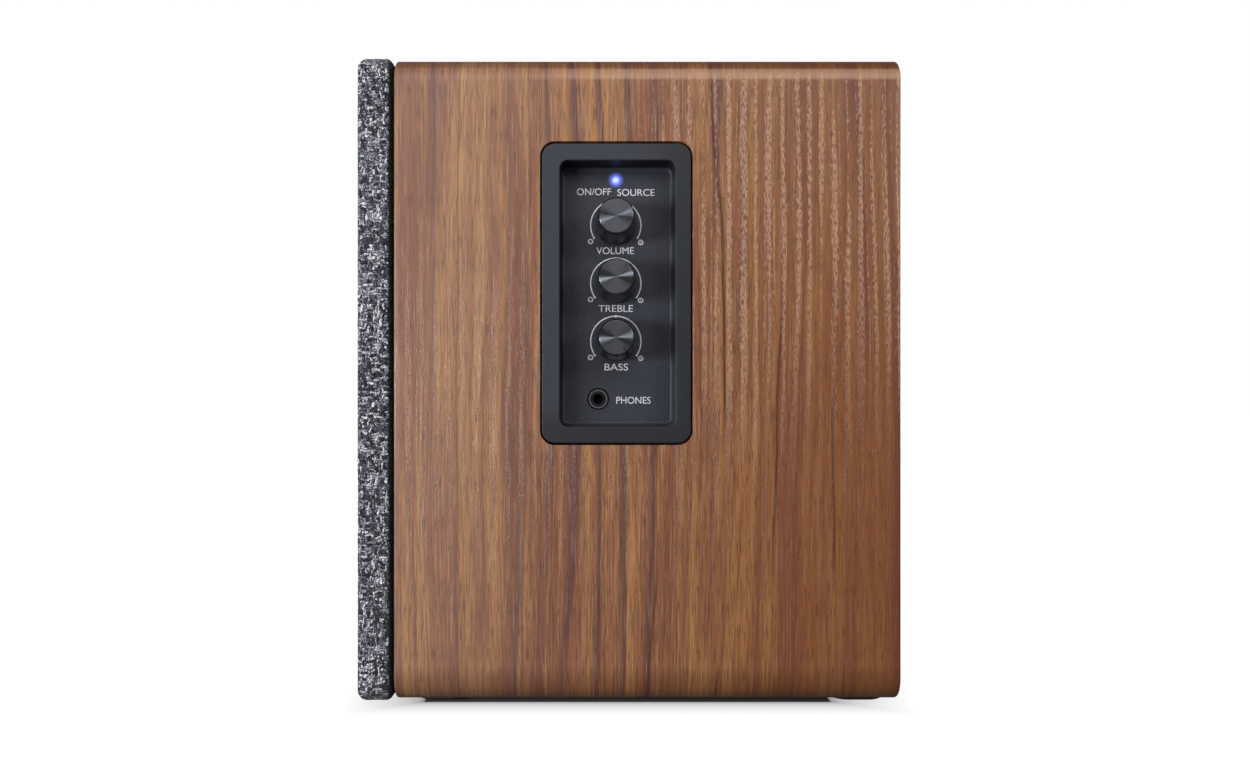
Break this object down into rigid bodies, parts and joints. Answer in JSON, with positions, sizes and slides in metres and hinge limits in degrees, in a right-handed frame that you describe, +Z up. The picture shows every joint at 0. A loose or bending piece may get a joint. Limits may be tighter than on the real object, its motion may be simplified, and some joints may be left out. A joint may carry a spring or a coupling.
{
  "type": "desktop speaker",
  "caption": "Powered wooden desktop speaker with a pull-off cloth grille, woofer and tweeter, a side tray of turning tone and volume knobs, and rear connectors.",
  "frame": {"origin": "on the desk, under the middle of the cabinet's width and of the depth over the grille", "axes": "+Z up, -Y towards the listener (the grille), +X to the side that carries the controls"},
  "size_m": [0.1533, 0.1944, 0.234],
  "materials": {
    "cabinet_sleeve": "walnut-grain vinyl veneer over fibreboard, satin",
    "front_baffle": "fibreboard, painted matt black",
    "rear_board": "fibreboard, painted matt black",
    "rubber_feet": "soft black rubber",
    "damping_wadding": "polyester wadding",
    "port_tube": "moulded black",
    "grille_frame": "black fibreboard",
    "grille_cloth": "coarse grey tweed speaker cloth",
    "grille_pegs": "moulded black",
    "grille_sockets": "soft black rubber cups",
    "woofer_basket": "pressed steel, black paint",
    "woofer_surround": "butyl rubber half roll",
    "woofer_cone": "coated paper",
    "woofer_dust_cap": "coated paper",
    "woofer_voice_coil": "aluminium former with a copper winding",
    "woofer_spider": "resin-treated corrugated cloth",
    "woofer_top_plate": "zinc plated",
    "woofer_magnet": "ferrite ring",
    "woofer_yoke": "zinc plated",
    "tweeter_faceplate": "moulded black",
    "tweeter_surround": "coated silk",
    "tweeter_dome": "coated silk",
    "tweeter_voice_coil": "aluminium former with a copper winding",
    "tweeter_top_plate": "zinc plated",
    "tweeter_magnet": "ferrite ring",
    "tweeter_yoke": "zinc plated",
    "driver_screws": "black oxide steel",
    "control_tray": "fine-textured dark grey moulding",
    "tray_screws": "black oxide steel",
    "control_board": "green circuit board",
    "volume_encoder": "plated rotary encoder with a push switch",
    "treble_pot": "plated potentiometer",
    "bass_pot": "plated potentiometer",
    "volume_plunger": "push-switch plunger",
    "volume_shaft": "turned",
    "volume_knob": "black",
    "volume_knob_cap": "dark anodised, spun face",
    "treble_shaft": "turned",
    "treble_knob": "black, white index mark",
    "treble_knob_cap": "dark anodised, spun face",
    "bass_shaft": "turned",
    "bass_knob": "black, white index mark",
    "bass_knob_cap": "dark anodised, spun face",
    "headphone_jack": "black stereo socket",
    "power_led": "clear lens, lit blue-white",
    "amp_plate": "steel, black powder coat",
    "plate_screws": "black oxide steel",
    "rca_inputs": "plated barrels on a black housing",
    "clip_terminals": "moulded black",
    "clip_lever_black": "black",
    "clip_lever_red": "red",
    "power_switch_frame": "black",
    "power_rocker": "black",
    "mains_inlet": "black, two plated pins",
    "main_board": "green circuit board with its heat sink",
    "transformer": "laminated iron core and wound bobbin",
    "woofer_lead": "insulated copper pair",
    "tweeter_lead": "insulated copper pair",
    "control_lead": "insulated flat cable"
  },
  "bodies": {
    "cabinet": {"cabinet_sleeve": "cabinet_sleeve", "front_baffle": "front_baffle", "rear_board": "rear_board", "rubber_feet": "rubber_feet", "damping_wadding": "damping_wadding", "port_tube": "port_tube", "grille_sockets": "grille_sockets", "woofer_basket": "woofer_basket", "woofer_surround": "woofer_surround", "woofer_spider": "woofer_spider", "woofer_top_plate": "woofer_top_plate", "woofer_magnet": "woofer_magnet", "woofer_yoke": "woofer_yoke", "tweeter_faceplate": "tweeter_faceplate", "tweeter_surround": "tweeter_surround", "tweeter_top_plate": "tweeter_top_plate", "tweeter_magnet": "tweeter_magnet", "tweeter_yoke": "tweeter_yoke", "driver_screws": "driver_screws", "control_tray": "control_tray", "tray_screws": "tray_screws", "control_board": "control_board", "volume_encoder": "volume_encoder", "treble_pot": "treble_pot", "bass_pot": "bass_pot", "headphone_jack": "headphone_jack", "power_led": "power_led", "amp_plate": "amp_plate", "plate_screws": "plate_screws", "rca_inputs": "rca_inputs", "clip_terminals": "clip_terminals", "power_switch_frame": "power_switch_frame", "mains_inlet": "mains_inlet", "main_board": "main_board", "transformer": "transformer", "woofer_lead": "woofer_lead", "tweeter_lead": "tweeter_lead", "control_lead": "control_lead"},
    "grille": {"grille_frame": "grille_frame", "grille_cloth": "grille_cloth", "grille_pegs": "grille_pegs"},
    "woofer_moving": {"woofer_cone": "woofer_cone", "woofer_dust_cap": "woofer_dust_cap", "woofer_voice_coil": "woofer_voice_coil"},
    "tweeter_moving": {"tweeter_dome": "tweeter_dome", "tweeter_voice_coil": "tweeter_voice_coil"},
    "volume_push": {"volume_plunger": "volume_plunger"},
    "volume_knob": {"volume_shaft": "volume_shaft", "volume_knob": "volume_knob", "volume_knob_cap": "volume_knob_cap"},
    "treble_knob": {"treble_shaft": "treble_shaft", "treble_knob": "treble_knob", "treble_knob_cap": "treble_knob_cap"},
    "bass_knob": {"bass_shaft": "bass_shaft", "bass_knob": "bass_knob", "bass_knob_cap": "bass_knob_cap"},
    "power_rocker": {"power_rocker": "power_rocker"},
    "clip_lever_red": {"clip_lever_red": "clip_lever_red"},
    "clip_lever_black": {"clip_lever_black": "clip_lever_black"}
  },
  "joints": [
    {"name": "grille_pull", "type": "slide", "parent": "cabinet", "child": "grille", "axis": [0, -1, 0], "range_m": [0, 0.03]},
    {"name": "woofer_travel", "type": "slide", "parent": "cabinet", "child": "woofer_moving", "axis": [0, -1, 0], "range_m": [-0.003, 0.003], "stiffness_N_per_m": 1200, "deforming": ["woofer_surround", "woofer_spider"]},
    {"name": "tweeter_travel", "type": "slide", "parent": "cabinet", "child": "tweeter_moving", "axis": [0, -1, 0], "range_m": [-0.0003, 0.0003], "stiffness_N_per_m": 1500, "deforming": ["tweeter_surround"]},
    {"name": "volume_press", "type": "slide", "parent": "cabinet", "child": "volume_push", "axis": [-1, 0, 0], "range_m": [0, 0.0005], "stiffness_N_per_m": 800, "springref_m": -0.001},
    {"name": "volume_turn", "type": "hinge", "parent": "volume_push", "child": "volume_knob", "pos_m": [0.064, -0.00427, 0.1751], "axis": [-1, 0, 0], "continuous": true},
    {"name": "treble_turn", "type": "hinge", "parent": "cabinet", "child": "treble_knob", "pos_m": [0.064, -0.00427, 0.1539], "axis": [-1, 0, 0], "range_deg": [-187, 103]},
    {"name": "bass_turn", "type": "hinge", "parent": "cabinet", "child": "bass_knob", "pos_m": [0.064, -0.00427, 0.1327], "axis": [-1, 0, 0], "range_deg": [-290, 0]},
    {"name": "power_rock", "type": "hinge", "parent": "cabinet", "child": "power_rocker", "pos_m": [0.024, 0.0888, 0.045], "axis": [-1, 0, 0], "range_deg": [0, 20]},
    {"name": "red_clip_press", "type": "hinge", "parent": "cabinet", "child": "clip_lever_red", "pos_m": [-0.0135, 0.0927, 0.1461], "axis": [-1, 0, 0], "range_deg": [0, 12], "stiffness_Nm_per_rad": 0.02, "springref_deg": -17.19},
    {"name": "black_clip_press", "type": "hinge", "parent": "cabinet", "child": "clip_lever_black", "pos_m": [-0.0345, 0.0927, 0.1461], "axis": [-1, 0, 0], "range_deg": [0, 12], "stiffness_Nm_per_rad": 0.02, "springref_deg": -17.19}
  ]
}
